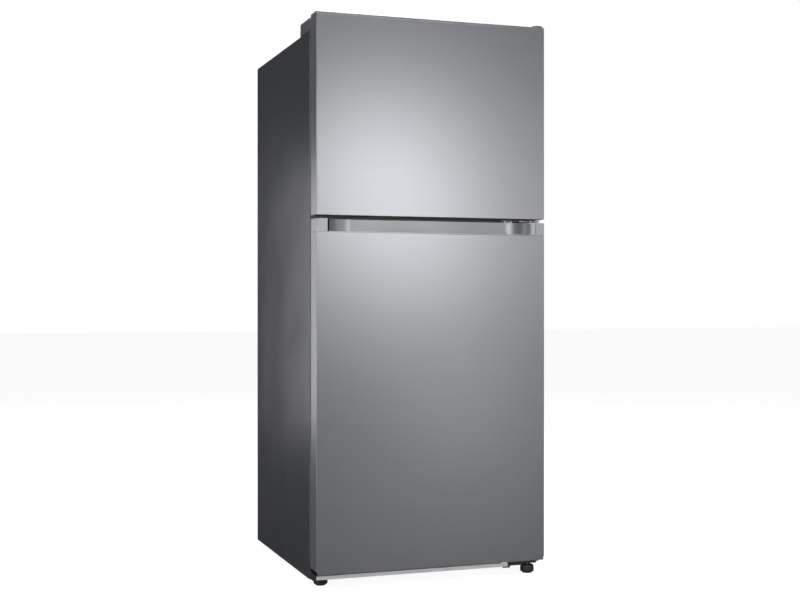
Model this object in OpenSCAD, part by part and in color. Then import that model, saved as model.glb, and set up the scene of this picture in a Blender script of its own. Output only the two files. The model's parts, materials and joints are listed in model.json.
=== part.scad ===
// Top freezer refrigerator: a steel case with foam and two liners, and two doors hinged on the right.
// Millimetres, +Z up. The origin is on the floor, in the middle of the whole width and depth.
// The doors face -Y. +X is on the right of someone who stands in front of them.

/* [Cabinet] */
// Width over the side panels
cabinet_w = 730; // [722:1:740]
// Depth from the front of the doors to the ribs on the back
overall_d = 755; // [751:1:765]
// Height of the top of the steel case
case_top = 1640; // [1632:1:1660]
// Height of the lower edge of the side panels
case_bottom = 15; // [12:1:20]

/* [Doors] */
// Thickness of a door without its gasket
door_t = 60; // [59:0.5:62]
// Height of the lower edge of the fridge door
fridge_door_bottom = 39.5; // [39:0.5:42]
// Height of the upper edge of the fridge door
fridge_door_top = 1079; // [1070:1:1085]
// Height of the gap between the two doors
door_gap = 11; // [10.5:0.5:12]
// Height of the grip that runs along the top of the fridge door
grip_h = 40; // [36:1:44]
// How far the grip's hollow goes in
grip_depth = 24; // [20:1:24]
// Width over which each end of the hollow curves forward
grip_curve = 90; // [60:5:110]

/* [Inside] */
// Height of the fridge compartment's floor
fridge_floor = 107; // [106:1:109]
// Thickness of the glass shelves
glass_t = 4; // [3.5:0.5:5]
// Wall of the crisper drawers
crisper_wall = 2.5; // [2:0.25:3]

/* [Hinges and feet] */
// Radius of the hinge pins
pin_r = 4; // [3.5:0.25:4.5]
// Radial clearance of a shaft or pin in its bore
running = 0.05; // [0.03:0.01:0.08]
// Radius of the levelling feet
foot_r = 21; // [20:0.5:22]

/* [Hidden] */
$fn = 48;

// Sheets and walls
sheet = 1;
liner_t = 2;
edge_r = 3;
case_corner_r = 4;

// Planes across the depth
half_w = cabinet_w / 2;
door_front = -overall_d / 2;
door_back = door_front + door_t;
skin_back = door_back - 12.5;
case_front = door_back + 12;
rear_rib = 1.5;
case_back = overall_d / 2 - rear_rib;
gasket_gap = 0.4;

// The steel window that the liners fill
window_x = half_w - 31;
window_top = case_top - 37;

// Fridge compartment, freezer compartment and the rail between them
fridge_half = half_w - 48;
fridge_ceiling = fridge_door_top - 33;
fridge_rim_bottom = 80;
freezer_half = half_w - 62;
freezer_floor = fridge_door_top + 43;
freezer_ceiling = case_top - 58;
rail_z = [fridge_door_top - 26, fridge_door_top + 36];
liner_back = case_back - 59;

// Base and machine room
base_z = [44, 45.5];
machine_front = 170;
machine_ceiling = [235, 236.5];
machine_floor = [32, 34];
step_y = machine_front - 57;
step_z = machine_ceiling[1] + 63.5;

// Doors
freezer_door_bottom = fridge_door_top + door_gap;
freezer_door_top = case_top + 42;
fridge_cap_z = [50, 56];
freezer_foot_z = [freezer_door_bottom, freezer_door_bottom + 4];
freezer_cap_z = [freezer_door_top - 6, freezer_door_top];
grip_z = [fridge_door_top - grip_h, fridge_door_top];

// Hinge line, which both doors share
hinge = [half_w - 17, door_front + 26];
bore_r = pin_r + running;
arm_z = [fridge_door_top + 3.7, freezer_door_bottom - 3.7];
base_hinge_z = [36, 40];
top_arm_z = [freezer_door_top + 1, freezer_door_top + 4];

// Feet and rollers
left_foot_at = [-half_w + 30, case_front - 11.5];
right_foot_at = [half_w - 49, hinge[1] - 4.5];
stem_r = 5;
stem_top = 48;
roller_at = [half_w - 65, case_back - 31, 14];
roller_w = 18;
axle_r = 3;

// Screws: [x, z] on the front of the case and [x, y] on its top
screw_r = 2.4;
screw_len = 14;
flange_t = 2.5;
gap_mid = fridge_door_top + door_gap / 2;
front_screws = [
    [half_w - 103, gap_mid], [half_w - 83, gap_mid],
    [half_w - 103, 47], [half_w - 75, 47], [half_w - 27, 47],
    [-half_w + 15, 47], [-half_w + 45, 47]
];
top_screws = [for (x = [half_w - 60, half_w - 25], y = [case_front + 25, case_front + 70]) [x, y]];

// Fans
evaporator_fan_z = freezer_floor + 378;
condenser_fan_at = [-40, 265, 130];
fan_shaft_r = 2;

// Cold air passage through the divider
passage_x = 40;
passage_y = [liner_back - 55, liner_back - 17];
flap_y = passage_y[0] + 4;
flap_z = fridge_ceiling - 9;
flap_pin_r = 2.5;

// Crispers
crisper_y = [-200, step_y - 5];
crisper_z = [fridge_floor + 5, fridge_floor + 265];
crisper_cover_z = [crisper_z[1] + 8, crisper_z[1] + 24];
slider_x = 60;
slider_travel = 30;

// Shelves: heights of the glass undersides
shelf_y = [-185, liner_back - 29];
fridge_shelves = [fridge_ceiling - 480, fridge_ceiling - 240];
freezer_shelf = freezer_floor + 214;
freezer_shelf_y = [-185, liner_back - 82];

// Door bins: [bottom, top]
dike_w = 24;
fridge_dike_x = [fridge_half - 41, fridge_half - 17];
freezer_dike_x = [freezer_half - 35, freezer_half - 11];
dike_back = door_back + 55.5;
fridge_bins = [for (z = [[13, 128], [253, 343], [493, 583], [733, 823]]) z + [fridge_floor, fridge_floor]];
freezer_bins = [[freezer_floor + 28, freezer_floor + 118], [freezer_floor + 233, freezer_floor + 323]];
bin_back = door_back + 83;

// Ranges
function both(a) = [-a, a];
function about(c, a) = [c - a, c + a];

// Points of an arc about c
function arc(c, r, a0, a1, n = 6) =
    [for (i = [0:n]) let (a = a0 + (a1 - a0) * i / n) c + r * [cos(a), sin(a)]];

// Simple solids between two values on each axis
module block(x, y, z)
    translate([x[0], y[0], z[0]])
        cube([x[1] - x[0], y[1] - y[0], z[1] - z[0]]);

module rect(a, b)
    translate([a[0], b[0]])
        square([a[1] - a[0], b[1] - b[0]]);

// Extrusions of a drawing in (y, z), (x, z) and (x, y)
module along_x(x) translate([x[0], 0, 0]) rotate([90, 0, 90]) linear_extrude(x[1] - x[0]) children();
module along_y(y) translate([0, y[1], 0]) rotate([90, 0, 0]) linear_extrude(y[1] - y[0]) children();
module along_z(z) translate([0, 0, z[0]]) linear_extrude(z[1] - z[0]) children();

// Round bars
module rod_x(x, y, z, r) translate([x[0], y, z]) rotate([0, 90, 0]) cylinder(r = r, h = x[1] - x[0]);
module rod_y(x, y, z, r) translate([x, y[1], z]) rotate([90, 0, 0]) cylinder(r = r, h = y[1] - y[0]);
module rod_z(x, y, z, r) translate([x, y, z[0]]) cylinder(r = r, h = z[1] - z[0]);

module left_and_right() {
    children();
    mirror([1, 0, 0]) children();
}

// A tube along straight runs, with a brazed elbow a little wider than the tube in each corner
module pipe(points, r) {
    elbow = 1.2;
    for (i = [0:len(points) - 2]) {
        a = points[i];
        b = points[i + 1];
        run = b - a;
        length = norm(run);
        translate(a)
            rotate([0, acos(run[2] / length), atan2(run[1], run[0])])
                cylinder(r = r, h = length);
    }
    for (i = [1:1:len(points) - 2]) translate(points[i]) sphere(r = r * elbow);
}

// Section of the case: sides and a top with rounded corners
module case_outline(inset, bottom) {
    w = half_w - inset;
    top = case_top - inset;
    r = case_corner_r - inset;
    polygon(concat(
        [[w, bottom]],
        arc([w - r, top - r], r, 0, 90),
        arc([r - w, top - r], r, 90, 180),
        [[-w, bottom]]
    ));
}

// Plan of a door: square at the back and rounded at its front corners
module door_outline(inset, back) {
    w = half_w - inset;
    front = door_front + inset;
    r = edge_r - inset;
    polygon(concat(
        [[w, back]],
        arc([w - r, front + r], r, 0, -90),
        arc([r - w, front + r], r, -90, -180),
        [[-w, back]]
    ));
}

// Side view of the fridge compartment, with a step over the machine room
function fridge_outline(grow, front) = [
    [front, fridge_floor - grow], [step_y + grow, fridge_floor - grow],
    [step_y + grow, step_z - grow], [liner_back + grow, step_z - grow],
    [liner_back + grow, fridge_ceiling + grow], [front, fridge_ceiling + grow]
];

module fridge_space(grow, front)
    along_x(both(fridge_half + grow)) polygon(fridge_outline(grow, front));

module freezer_space(grow, front)
    block(both(freezer_half + grow), [front, liner_back + grow],
        [freezer_floor - grow, freezer_ceiling + grow]);

module passage_hole()
    block(both(passage_x), passage_y, [fridge_ceiling - 10, freezer_floor + 10]);

module front_screw_shanks(r)
    for (p = front_screws) rod_y(p[0], [case_front - flange_t, case_front + screw_len], p[1], r);

module top_screw_shanks(r)
    for (p = top_screws) rod_z(p[0], p[1], [case_top - screw_len, case_top + flange_t], r);

module screw_holes() {
    front_screw_shanks(screw_r + running);
    top_screw_shanks(screw_r + running);
}

// The return line leaves the compressor's dome and climbs through the foam behind the liners
compressor_at = [-230, 275];
compressor_z = [46, 205];
evaporator_y = [liner_back - 52, liner_back - 16];
line_z = 219;
suction_x = 120;
suction_y = liner_back + 29;
suction_top = freezer_floor + 28;
tube_r = 4;
module suction_line()
    pipe([
        [compressor_at[0] + 40, compressor_at[1], compressor_z[1] - 4],
        [compressor_at[0] + 40, compressor_at[1], line_z],
        [compressor_at[0] + 40, suction_y, line_z],
        [suction_x, suction_y, line_z],
        [suction_x, suction_y, suction_top],
        [suction_x, evaporator_y[1] - 9, suction_top],
        [suction_x, evaporator_y[1] - 9, suction_top + 27.5]
    ], tube_r);

// ---------------------------------------------------------------- cabinet

module outer_case() color([0.29, 0.30, 0.31]) difference() {
    union() {
        difference() {
            along_y([case_front, case_back - sheet]) case_outline(0, case_bottom);
            along_y([case_front - 1, case_back]) case_outline(sheet, case_bottom - 1);
        }
        along_y([case_front, case_front + sheet]) difference() {
            case_outline(0, base_z[0] + 1);
            rect(both(window_x), [base_z[0], window_top]);
        }
    }
    screw_holes();
}

module rear_panel() color([0.62, 0.63, 0.64]) {
    z = [machine_ceiling[1], case_top];
    rib_w = 14;
    union() {
        along_y([case_back - sheet, case_back]) intersection() {
            case_outline(0, z[0]);
            rect(both(half_w), z);
        }
        for (x = [-240, -80, 80, 240])
            block(about(x, rib_w / 2), [case_back, case_back + rear_rib], [z[0] + 80, z[1] - 90]);
    }
}

module insulation_foam() color([0.93, 0.88, 0.66]) difference() {
    along_y([case_front + sheet, case_back - sheet]) case_outline(sheet, base_z[1]);
    fridge_space(liner_t, case_front);
    freezer_space(liner_t, case_front);
    block(both(half_w), [machine_front, case_back], [0, machine_ceiling[1]]);
    passage_hole();
    rail_flanges();
    screw_holes();
    suction_line();
    block([-half_w, half_w], [case_front, machine_front + 1.5], [base_z[0], base_z[1]]);
}

module freezer_liner() color([0.94, 0.95, 0.96]) {
    ledge = 6;
    difference() {
        union() {
            freezer_space(liner_t, case_front);
            block(both(window_x), [case_front, case_front + sheet], [rail_z[1], window_top]);
        }
        freezer_space(0, case_front - 1);
        passage_hole();
        suction_line();
    }
    left_and_right()
        block([freezer_half - ledge, freezer_half], freezer_shelf_y, [freezer_shelf - ledge, freezer_shelf]);
}

module fridge_liner() color([0.94, 0.95, 0.96]) {
    ledge = 12;
    runner_w = 10;
    difference() {
        union() {
            fridge_space(liner_t, case_front);
            block(both(window_x), [case_front, case_front + sheet], [fridge_rim_bottom, rail_z[0]]);
        }
        fridge_space(0, case_front - 1);
        passage_hole();
    }
    left_and_right() {
        for (z = fridge_shelves)
            block([fridge_half - ledge, fridge_half], shelf_y, [z - 8, z]);
        block([fridge_half - 5, fridge_half], [crisper_y[0], shelf_y[1]],
            [crisper_cover_z[0] - 6, crisper_cover_z[0]]);
        for (x = [10, fridge_half - 30])
            block([x, x + runner_w], [crisper_y[0] + 8, step_y], [fridge_floor, crisper_z[0]]);
    }
}

module rail_flanges()
    for (z = [rail_z[0], rail_z[1] - sheet])
        block(both(window_x), [case_front + sheet, case_front + 15], [z, z + sheet]);

module center_rail() color([0.33, 0.34, 0.35]) difference() {
    union() {
        block(both(window_x), [case_front, case_front + sheet], rail_z);
        rail_flanges();
    }
    front_screw_shanks(screw_r + running);
}

module base_pan() color([0.60, 0.61, 0.62]) difference() {
    apron_bottom = 30;
    union() {
        block(both(half_w - sheet), [case_front, case_front + sheet], [apron_bottom, base_z[0] + 1]);
        block(both(window_x), [case_front, case_front + sheet], [apron_bottom, fridge_rim_bottom]);
        block(both(half_w - sheet), [case_front + sheet, machine_front + 1.5], base_z);
        block(both(half_w - sheet), [machine_front, machine_front + 1.5], [base_z[0], machine_ceiling[1]]);
        block(both(half_w - sheet), [machine_front, case_back - sheet], machine_ceiling);
    }
    front_screw_shanks(screw_r + running);
    suction_line();
}

mount_pitch = [150, 110];
function compressor_feet() =
    [for (x = [-1, 1], y = [-1, 1]) compressor_at + [x * mount_pitch[0] / 2, y * mount_pitch[1] / 2]];

module machine_base() color([0.60, 0.61, 0.62]) difference() {
    side = half_w - 3;
    y = [machine_front + 2, case_back - 2];
    union() {
        block(both(side), y, machine_floor);
        left_and_right() block([side - 1.5, side], y, [machine_floor[0], 60]);
        block(both(side), [y[0], y[0] + 1.5], [machine_floor[0], 60]);
    }
    for (p = compressor_feet()) rod_z(p[0], p[1], [machine_floor[0] - 1, machine_floor[1] + 1], 4);
}

cover_y = [case_front, case_front + 110];
cover_z = [case_top, case_top + 37];
module top_cover() color([0.25, 0.26, 0.27]) difference() {
    draft = 2.5;
    wall = 2.5;
    along_x(both(half_w)) polygon([
        [cover_y[0], cover_z[0]], [cover_y[0], cover_z[1]],
        [cover_y[1] - draft, cover_z[1]], [cover_y[1], cover_z[0]]
    ]);
    along_x(both(half_w - wall)) polygon([
        [cover_y[0] + wall, cover_z[0] - 1], [cover_y[0] + wall, cover_z[1] - wall],
        [cover_y[1] - draft - wall, cover_z[1] - wall], [cover_y[1] - wall, cover_z[0] - 1]
    ]);
    block([hinge[0] - 16, hinge[0] + 14], [case_front + 3, case_front + 11], [cover_z[1] - 4, cover_z[1] + 1]);
}

// Arm of a hinge: straight sides and a round end about the hinge line
module hinge_arm(x, back, z, r) {
    block(x, [hinge[1], back], z);
    rod_z(hinge[0], hinge[1], z, r);
}

module top_hinge() color([0.20, 0.20, 0.21]) difference() {
    riser_y = case_front + 5.5;
    union() {
        block([half_w - 75, half_w - 5], [riser_y, case_front + 90], [case_top, case_top + flange_t]);
        block(about(hinge[0], 12), [riser_y, riser_y + 3], [case_top, top_arm_z[1]]);
        hinge_arm(about(hinge[0], 12), riser_y + 3, top_arm_z, 12);
        rod_z(hinge[0], hinge[1], [freezer_door_top - 16, top_arm_z[0]], pin_r);
    }
    top_screw_shanks(screw_r + running);
}

module hinge_cover() color([0.12, 0.12, 0.13]) {
    wall = 1.8;
    x = [hinge[0] - 17, half_w - 0.5];
    y = [door_front + 5, case_front + 21];
    bottom = freezer_door_top + 0.5;
    top = freezer_door_top + 7;
    difference() {
        union() {
            block(x, [y[0], case_front], [bottom, top]);
            block(x, [case_front, y[1]], [cover_z[1], top]);
        }
        block([x[0] + wall, x[1] - wall], [y[0] + wall, y[1] - wall], [cover_z[1] - 1, top - wall]);
    }
}

module mid_hinge() color([0.45, 0.46, 0.47]) difference() {
    union() {
        block([half_w - 113, half_w - 13], [case_front - flange_t, case_front],
            [fridge_door_top - 11, fridge_door_top + 21]);
        block([half_w - 70, half_w - 13], [hinge[1] + 8, case_front - flange_t], arm_z);
        hinge_arm([half_w - 40, hinge[0] + 11], hinge[1] + 20, arm_z, 11);
        rod_z(hinge[0], hinge[1], [fridge_door_top - 14, freezer_door_bottom + 14], pin_r);
    }
    front_screw_shanks(screw_r + running);
}

module bottom_hinge() color([0.07, 0.07, 0.08]) difference() {
    x = [half_w - 121, half_w - 13];
    front = door_front + 5.5;
    nut_r = 9;
    union() {
        block(x, [case_front - flange_t, case_front], [base_hinge_z[0], 54]);
        block([x[0], hinge[0]], [front, case_front - flange_t], base_hinge_z);
        hinge_arm([hinge[0] - 20, hinge[0] + 4], case_front - flange_t, base_hinge_z, 14);
        block([x[0], x[0] + 54], [front, front + 3], [27, base_hinge_z[0]]);
        block([x[0], half_w - 25], [front, front + 3], [31, base_hinge_z[0]]);
        block([x[0], x[0] + 8], [front, front + 3], [21.5, 28]);
        block([x[0] - 16, x[0] + 8], [front, front + 3], [21.5, 25.5]);
        rod_z(hinge[0], hinge[1], [base_hinge_z[1], fridge_cap_z[0] + 16], pin_r);
        rod_z(right_foot_at[0], right_foot_at[1], [31, base_hinge_z[0]], nut_r);
    }
    rod_z(right_foot_at[0], right_foot_at[1], [30, base_hinge_z[1] + 1], stem_r + running);
    front_screw_shanks(screw_r + running);
}

module left_leg_bracket() color([0.07, 0.07, 0.08]) difference() {
    x = [-half_w + 1, -half_w + 57];
    nut_r = 9;
    union() {
        block(x, [left_foot_at[1] - 18, case_front], [36, 39]);
        block([x[0], x[0] + 3], [door_front + 5, case_front], [17, 39]);
        block(x, [case_front - flange_t, case_front], [36, 54]);
        rod_z(left_foot_at[0], left_foot_at[1], [31, 36], nut_r);
    }
    rod_z(left_foot_at[0], left_foot_at[1], [30, 40], stem_r + running);
    front_screw_shanks(screw_r + running);
}

module hinge_screws() color([0.66, 0.67, 0.68]) {
    head_r = 4.5;
    head_h = 2.2;
    front_screw_shanks(screw_r);
    top_screw_shanks(screw_r);
    for (p = front_screws)
        rod_y(p[0], about(case_front - flange_t - head_h / 2, head_h / 2), p[1], head_r);
    for (p = top_screws)
        rod_z(p[0], p[1], about(case_top + flange_t + head_h / 2, head_h / 2), head_r);
}

module kick_plate() color([0.70, 0.71, 0.72]) difference() {
    x = [-half_w + 1, half_w - 122];
    lip_front = door_front + 2;
    t = 2;
    z = [26, 37.5];
    union() {
        block(x, [lip_front, lip_front + t], z);
        block([x[0] + 5, x[1]], [lip_front, case_front], [z[0], z[0] + t]);
        block([x[0] + 5, x[1]], [case_front - t, case_front], [z[0], z[0] + 7]);
        block([x[1] - 6, x[1]], [lip_front, lip_front + 12], [z[0], z[1] - 4]);
    }
    rod_z(left_foot_at[0], left_foot_at[1], [z[0] - 1, z[1]], 11);
}

module levelling_stem(at) rod_z(at[0], at[1], [25, stem_top], stem_r);

// Foot: a wide disc on a narrower base, hollow for the end of the stem
module levelling_foot(at)
    translate([at[0], at[1], 0])
        rotate_extrude()
            polygon([[0, 0], [15, 0], [16, 3], [foot_r, 5], [foot_r, 20], [foot_r - 3, 25], [0, 25]]);

module left_leg_stem() color([0.70, 0.71, 0.72]) levelling_stem(left_foot_at);
module right_leg_stem() color([0.70, 0.71, 0.72]) levelling_stem(right_foot_at);
module left_foot() color([0.10, 0.10, 0.10]) levelling_foot(left_foot_at);
module right_foot() color([0.10, 0.10, 0.10]) levelling_foot(right_foot_at);

// ------------------------------------------------------------ machine room

bracket_ear = 2;
module roller_brackets() color([0.55, 0.56, 0.57]) left_and_right() {
    ear_gap = 1;
    half = roller_w / 2 + ear_gap;
    y = about(roller_at[1], 13);
    top = machine_floor[0];
    block(about(roller_at[0], half + bracket_ear), y, [top - 2, top]);
    for (s = [-1, 1])
        block(about(roller_at[0] + s * (half + bracket_ear / 2), bracket_ear / 2), y, [8, top]);
    rod_x(about(roller_at[0], half + bracket_ear + 2), roller_at[1], roller_at[2], axle_r);
}

module roller(side) difference() {
    x = side * roller_at[0];
    rod_x(about(x, roller_w / 2), roller_at[1], roller_at[2], roller_at[2]);
    rod_x(about(x, roller_w), roller_at[1], roller_at[2], axle_r + running);
}

module roller_left() color([0.16, 0.16, 0.17]) roller(-1);
module roller_right() color([0.16, 0.16, 0.17]) roller(1);

module compressor() color([0.08, 0.08, 0.09]) difference() {
    r = 74;
    foot_t = 3;
    dome = 34;
    z = compressor_z;
    union() {
        translate([compressor_at[0], compressor_at[1], 0])
            rotate_extrude()
                polygon([
                    [0, z[0] + foot_t], [r * 0.62, z[0] + foot_t], [r * 0.9, z[0] + 18], [r, z[0] + dome],
                    [r, z[1] - dome], [r * 0.93, z[1] - 17], [r * 0.7, z[1] - 5], [r * 0.4, z[1]], [0, z[1]]
                ]);
        block(about(compressor_at[0], mount_pitch[0] / 2 + 16), about(compressor_at[1], 34), [z[0], z[0] + foot_t + 1]);
        block(about(compressor_at[0], mount_pitch[0] / 2 + 16), about(compressor_at[1], mount_pitch[1] / 2 + 16),
            [z[0], z[0] + foot_t]);
        block([compressor_at[0] + r - 10, compressor_at[0] + r + 26], about(compressor_at[1], 26), [88, 150]);
    }
    for (p = compressor_feet()) rod_z(p[0], p[1], [z[0] - 1, z[0] + foot_t + 1], 7);
}

module compressor_mounts() color([0.13, 0.13, 0.13])
    for (p = compressor_feet()) {
        rod_z(p[0], p[1], [machine_floor[1], compressor_z[0]], 11);
        rod_z(p[0], p[1], [compressor_z[0], compressor_z[0] + 7], 6.8);
        rod_z(p[0], p[1], machine_floor, 3.8);
    }

// A flat serpentine in a plane of constant x: passes along y joined by half rings
module serpentine(x, y, z0, passes, pitch, r) {
    for (i = [0:passes - 1]) rod_y(x, y, z0 + i * pitch, r);
    for (i = [0:passes - 2])
        translate([x, y[i % 2], z0 + (i + 0.5) * pitch])
            rotate([90, 0, 90])
                rotate([0, 0, i % 2 == 0 ? 90 : -90])
                    rotate_extrude(angle = 180)
                        translate([pitch / 2, 0]) circle(r = r);
}

condenser_y = [200, 340];
condenser_z = 66;
condenser_pitch = 24;
condenser_passes = 6;
condenser_x = [90, 130, 170, 210];
module condenser_coil() color([0.15, 0.15, 0.16]) {
    top = condenser_z + (condenser_passes - 1) * condenser_pitch;
    for (x = condenser_x) serpentine(x, condenser_y, condenser_z, condenser_passes, condenser_pitch, 3);
    for (y = [225, 270, 315])
        block([condenser_x[0] - 6, condenser_x[3] + 6], [y, y + 1.5], [condenser_z - 32, top + 6]);
}

module condenser_fan_housing() color([0.18, 0.18, 0.19]) {
    c = condenser_fan_at;
    duct_r = 68;
    y = about(c[1], 80);
    z = [machine_floor[1], c[2] + 80];
    x = [c[0], c[0] + 24];
    difference() {
        block(x, y, z);
        rod_x([x[0] - 1, x[1] + 1], c[1], c[2], duct_r);
        block([x[0] + 3, x[1] + 1], [y[0] + 4, y[1] - 4], [z[0] + 4, c[2] - duct_r - 2]);
    }
    difference() {
        union() {
            rod_x([x[1] + 2, x[1] + 36], c[1], c[2], 19);
            for (a = [45:90:315])
                translate([x[1] + 2, c[1], c[2]])
                    rotate([a, 0, 0])
                        block([0, 4], [12, duct_r + 9], both(4));
            for (a = [45:90:315])
                translate([x[1], c[1], c[2]])
                    rotate([a, 0, 0])
                        block([0, 6], [duct_r + 1, duct_r + 9], both(4));
        }
        rod_x([x[1] + 1, x[1] + 22], c[1], c[2], fan_shaft_r + running);
    }
}

// Fan wheel about +Z, with its shaft behind it
module fan_wheel(r, blades, depth, shaft) {
    hub_r = 13;
    pitch_angle = 32;
    union() {
        cylinder(r = hub_r, h = depth);
        for (i = [0:blades - 1])
            rotate([0, 0, i * 360 / blades])
                translate([hub_r - 3, 0, depth / 2])
                    rotate([pitch_angle, 0, 0])
                        block([0, r - hub_r - 2], about(0, depth * 0.72), about(0, 0.8));
        translate([0, 0, depth]) cylinder(r = fan_shaft_r, h = shaft);
    }
}

module condenser_fan_blade() color([0.82, 0.83, 0.84])
    translate([condenser_fan_at[0] + 4, condenser_fan_at[1], condenser_fan_at[2]])
        rotate([0, 90, 0]) fan_wheel(60, 5, 18, 20);

module drip_pan() color([0.14, 0.14, 0.15]) {
    x = [80, 262];
    y = [186, 214];
    z = [machine_floor[1], machine_floor[1] + 22];
    wall = 2;
    difference() {
        block(x, y, z);
        block([x[0] + wall, x[1] - wall], [y[0] + wall, y[1] - wall], [z[0] + wall, z[1] + 1]);
    }
}

module machine_room_cover() color([0.30, 0.31, 0.32]) {
    y = [case_back - 1.8, case_back];
    gland_at = [-300, 70];
    difference() {
        block(both(half_w - 4), y, [machine_floor[0] + 5, machine_ceiling[0] - 1]);
        for (i = [0:6], x = [-250, -90, 70, 230])
            block(about(x, 60), [y[0] - 1, y[1] + 1], about(95 + i * 18, 4));
        rod_y(gland_at[0], [y[0] - 1, y[1] + 1], gland_at[1], 9);
    }
    difference() {
        union() {
            rod_y(gland_at[0], [y[0] - 8, y[0]], gland_at[1], 13);
            rod_y(gland_at[0], y, gland_at[1], 9);
        }
        rod_y(gland_at[0], [y[0] - 10, y[1] + 2], gland_at[1], 4.5);
    }
}

module refrigerant_lines() color([0.72, 0.45, 0.28]) {
    discharge = [compressor_at[0] - 40, compressor_at[1] - 10];
    drier = [300, 352];
    z = line_z - 10;
    drier_z = [70, 150];
    suction_line();
    pipe([
        [discharge[0], discharge[1], compressor_z[1] - 8], [discharge[0], discharge[1], z],
        [discharge[0], drier[1], z], [drier[0], drier[1], z],
        [drier[0], drier[1], drier_z[1] - 2]
    ], 3);
    rod_z(drier[0], drier[1], drier_z, 9);
}

// ---------------------------------------------------------- freezer inside

module evaporator() color([0.75, 0.76, 0.77]) {
    x = 230;
    z0 = freezer_floor + 60;
    pitch = 34;
    fin_gap = 46;
    tube_y = [evaporator_y[0] + 9, evaporator_y[1] - 9];
    union() {
        for (ty = tube_y, i = [0:5]) rod_x(both(x), ty, z0 + i * pitch, tube_r);
        for (ty = tube_y, i = [0:4])
            translate([i % 2 == 0 ? x : -x, ty, z0 + (i + 0.5) * pitch])
                rotate([90, 0, 0])
                    rotate([0, 0, i % 2 == 0 ? -90 : 90])
                        rotate_extrude(angle = 180)
                            translate([pitch / 2, 0]) circle(r = tube_r);
        for (fx = [-x + 10:fin_gap:x])
            block([fx, fx + 1], evaporator_y, [z0 - 15, z0 + 5 * pitch + 15]);
        for (fx = [-x + 10, x - 36])
            block([fx, fx + 1], [evaporator_y[0], liner_back], [z0 + 40, z0 + 100]);
    }
}

evaporator_cover_y = [liner_back - 72, liner_back - 68];
evaporator_hole_r = 56;
module evaporator_cover() color([0.90, 0.91, 0.92]) {
    z = [freezer_floor + 1, freezer_ceiling - 1];
    difference() {
        block(both(freezer_half - 1), evaporator_cover_y, z);
        rod_y(0, [evaporator_cover_y[0] - 1, evaporator_cover_y[1] + 1], evaporator_fan_z, evaporator_hole_r);
        for (x = [-200:100:200])
            block(about(x, 38), [evaporator_cover_y[0] - 1, evaporator_cover_y[1] + 1],
                about(freezer_floor + 30, 6));
    }
    for (r = [18, 32, 46])
        translate([0, evaporator_cover_y[1], evaporator_fan_z])
            rotate([90, 0, 0]) difference() {
                cylinder(r = r + 2, h = 3);
                translate([0, 0, -1]) cylinder(r = r - 2, h = 5);
            }
    for (a = [30:60:150])
        translate([0, evaporator_cover_y[0], evaporator_fan_z])
            rotate([0, a, 0]) block(both(evaporator_hole_r + 3), [0, 3], both(2));
}

module evaporator_fan_blade() color([0.82, 0.83, 0.84])
    translate([0, evaporator_cover_y[1] + 5, evaporator_fan_z])
        rotate([-90, 0, 0]) fan_wheel(50, 5, 14, 16);

module evaporator_fan_motor() color([0.85, 0.86, 0.87]) {
    motor_y = evaporator_cover_y[1] + 22;
    difference() {
        union() {
            rod_y(0, [motor_y, motor_y + 26], evaporator_fan_z, 20);
            rod_y(0, [motor_y + 26, liner_back], evaporator_fan_z, 9);
            block(both(34), [liner_back - 3, liner_back], about(evaporator_fan_z, 12));
        }
        rod_y(0, [motor_y - 1, motor_y + 16], evaporator_fan_z, fan_shaft_r + running);
    }
}

// ----------------------------------------------------------- fridge inside

duct_half = 92;
duct_step_z = fridge_ceiling - 146;
duct_z = [fridge_ceiling - 620, fridge_ceiling];
duct_y = [liner_back - 59, liner_back - 25];
module air_duct_cover() color([0.90, 0.91, 0.92]) {
    wall = 2;
    ear_x = passage_x + 1;
    difference() {
        along_x(both(duct_half)) polygon([
            [duct_y[0], duct_z[1]], [duct_y[0], duct_step_z], [duct_y[1], duct_step_z - 30],
            [duct_y[1], duct_z[0]], [liner_back, duct_z[0]], [liner_back, duct_z[1]]
        ]);
        along_x(both(duct_half - wall)) polygon([
            [duct_y[0] + wall, duct_z[1] + 1], [duct_y[0] + wall, duct_step_z + 1],
            [duct_y[1] + wall, duct_step_z - 29], [duct_y[1] + wall, duct_z[0] + wall],
            [liner_back + 1, duct_z[0] + wall], [liner_back + 1, duct_z[1] + 1]
        ]);
        for (i = [0:5], s = [-1, 1])
            block(about(s * 50, 28), [duct_y[1] - 1, duct_y[1] + wall + 1],
                about(duct_z[0] + 60 + i * 70, 5));
        for (i = [0:2])
            block(both(60), [duct_y[0] - 1, duct_y[0] + wall + 1], about(duct_step_z + 30 + i * 22, 4));
    }
    left_and_right() difference() {
        block([ear_x, ear_x + 5], [duct_y[0] + wall, liner_back - 17], about(flap_z, 8));
        rod_x([ear_x - 1, ear_x + 6], flap_y, flap_z, flap_pin_r + running);
    }
}

module damper_flap() color([0.30, 0.31, 0.33]) union() {
    block(both(passage_x - 3), [flap_y, passage_y[1] - 3], about(flap_z, 1));
    rod_x(both(passage_x + 5), flap_y, flap_z, flap_pin_r);
}

module glass_shelves() color([0.75, 0.88, 0.86, 0.5]) {
    for (z = fridge_shelves) block(both(fridge_half - 4), shelf_y, [z, z + glass_t]);
    block(both(freezer_half - 3), freezer_shelf_y, [freezer_shelf, freezer_shelf + glass_t]);
    block(both(fridge_half - 12), [crisper_y[0] + 10, shelf_y[1] - 10],
        [crisper_cover_z[1] - glass_t, crisper_cover_z[1]]);
}

// Strip that clips over the front edge of a shelf
module front_trim(half, y, z) difference() {
    block(both(half), [y - 8, y + 10], [z - 6, z + glass_t + 4]);
    block(both(half + 1), [y, y + 11], [z, z + glass_t]);
}

module shelf_trims() color([0.93, 0.94, 0.95]) {
    for (z = fridge_shelves) front_trim(fridge_half - 14, shelf_y[0], z);
    front_trim(freezer_half - 8, freezer_shelf_y[0], freezer_shelf);
}

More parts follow.
